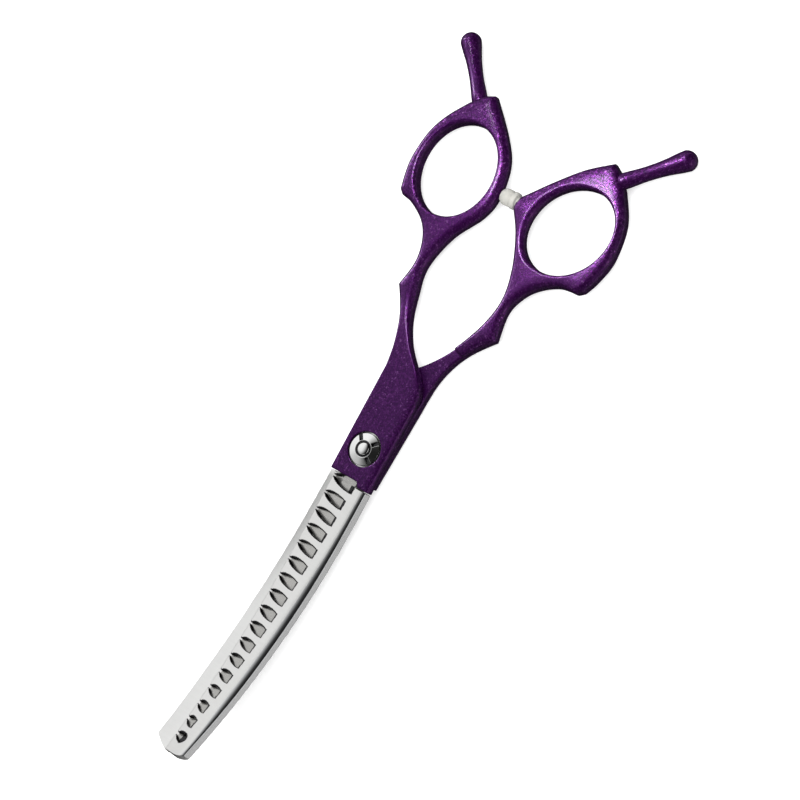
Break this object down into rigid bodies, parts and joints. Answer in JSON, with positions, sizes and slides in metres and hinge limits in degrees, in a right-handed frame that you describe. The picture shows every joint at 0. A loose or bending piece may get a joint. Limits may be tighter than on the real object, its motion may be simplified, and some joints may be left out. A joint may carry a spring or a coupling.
{
  "type": "curved thinning shears",
  "caption": "Curved thinning shears: a toothed blade over a plain blade, two finger rings with screwed-in rests, a rubber bumper and a slotted tension dial.",
  "frame": {"origin": "on the pivot axis, at the flat underside of the pivot nut", "axes": "+X along the closed blades towards their tips, +Z along the pivot axis towards the tension dial, +Y towards the toothed blade's spine"},
  "size_m": [0.1926, 0.0735, 0.0208],
  "materials": {
    "handle_paint": "glossy purple metallic flake paint",
    "blade_steel": "fine satin steel with polished bevels",
    "polished_steel": "mirror polished",
    "pin_steel": "plain machined",
    "bush_brass": "turned",
    "washer_nylon": "plain moulded",
    "bumper_rubber": "cloudy translucent, smooth"
  },
  "bodies": {
    "back_half": {"back_handle": "handle_paint", "cutting_blade": "blade_steel", "back_tang_pin_1": "pin_steel", "back_tang_pin_2": "pin_steel", "back_finger_rest": "handle_paint", "back_rest_stud": "pin_steel", "bumper": "bumper_rubber", "bumper_stud": "pin_steel", "pivot_nut": "polished_steel", "thrust_washer": "washer_nylon"},
    "front_half": {"front_handle": "handle_paint", "toothed_blade": "blade_steel", "front_tang_pin_1": "pin_steel", "front_tang_pin_2": "pin_steel", "front_finger_rest": "handle_paint", "front_rest_stud": "pin_steel", "pivot_bush": "bush_brass"},
    "tension_screw": {"pivot_screw": "polished_steel", "tension_dial": "polished_steel", "spring_washer": "polished_steel"}
  },
  "joints": [
    {"name": "shear_pivot", "type": "hinge", "parent": "back_half", "child": "front_half", "pos_m": [0, 0, 0.004], "axis": [0, 0, 1], "range_deg": [0, 60]},
    {"name": "tension_turn", "type": "hinge", "parent": "back_half", "child": "tension_screw", "pos_m": [0, 0, 0.004], "axis": [0, 0, 1], "range_deg": [-180, 180]}
  ]
}
